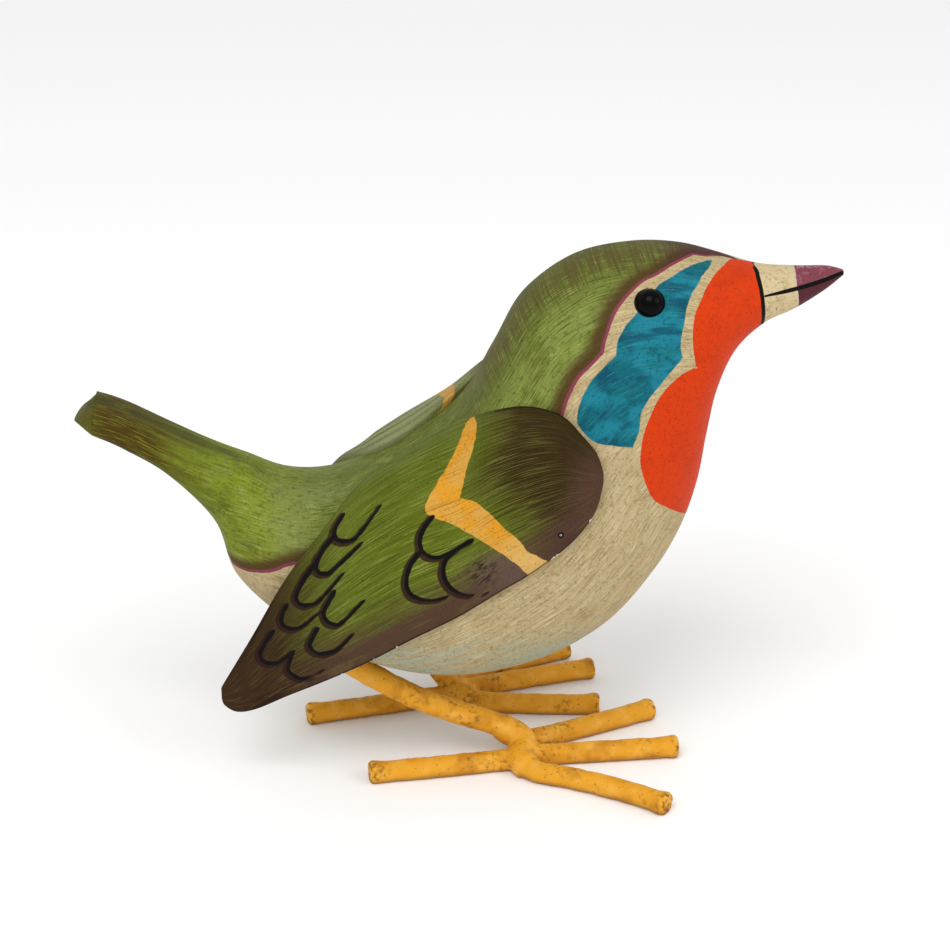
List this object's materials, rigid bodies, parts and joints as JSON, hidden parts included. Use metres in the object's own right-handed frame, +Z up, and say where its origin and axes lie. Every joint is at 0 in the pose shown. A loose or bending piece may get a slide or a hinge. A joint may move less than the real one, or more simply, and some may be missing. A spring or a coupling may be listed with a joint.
{
  "type": "songbird figurine",
  "caption": "Painted carved-wood songbird standing on bent wire legs, with glued-on wings, raised tail and bead eyes.",
  "frame": {"origin": "on the floor, under the middle of the bird's box", "axes": "+X towards the beak, +Y towards the bird's left side, +Z up"},
  "size_m": [0.1504, 0.0702, 0.1063],
  "materials": {
    "painted_wood": "satin acrylic paint with fine brush streaks",
    "coated_wire": "thick ochre paint with dirt specks",
    "bead": "polished"
  },
  "bodies": {
    "root": {"body": "painted_wood", "wing_right": "painted_wood", "wing_left": "painted_wood", "leg_right": "coated_wire", "leg_left": "coated_wire", "eye_right": "bead", "eye_left": "bead"}
  },
  "joints": []
}
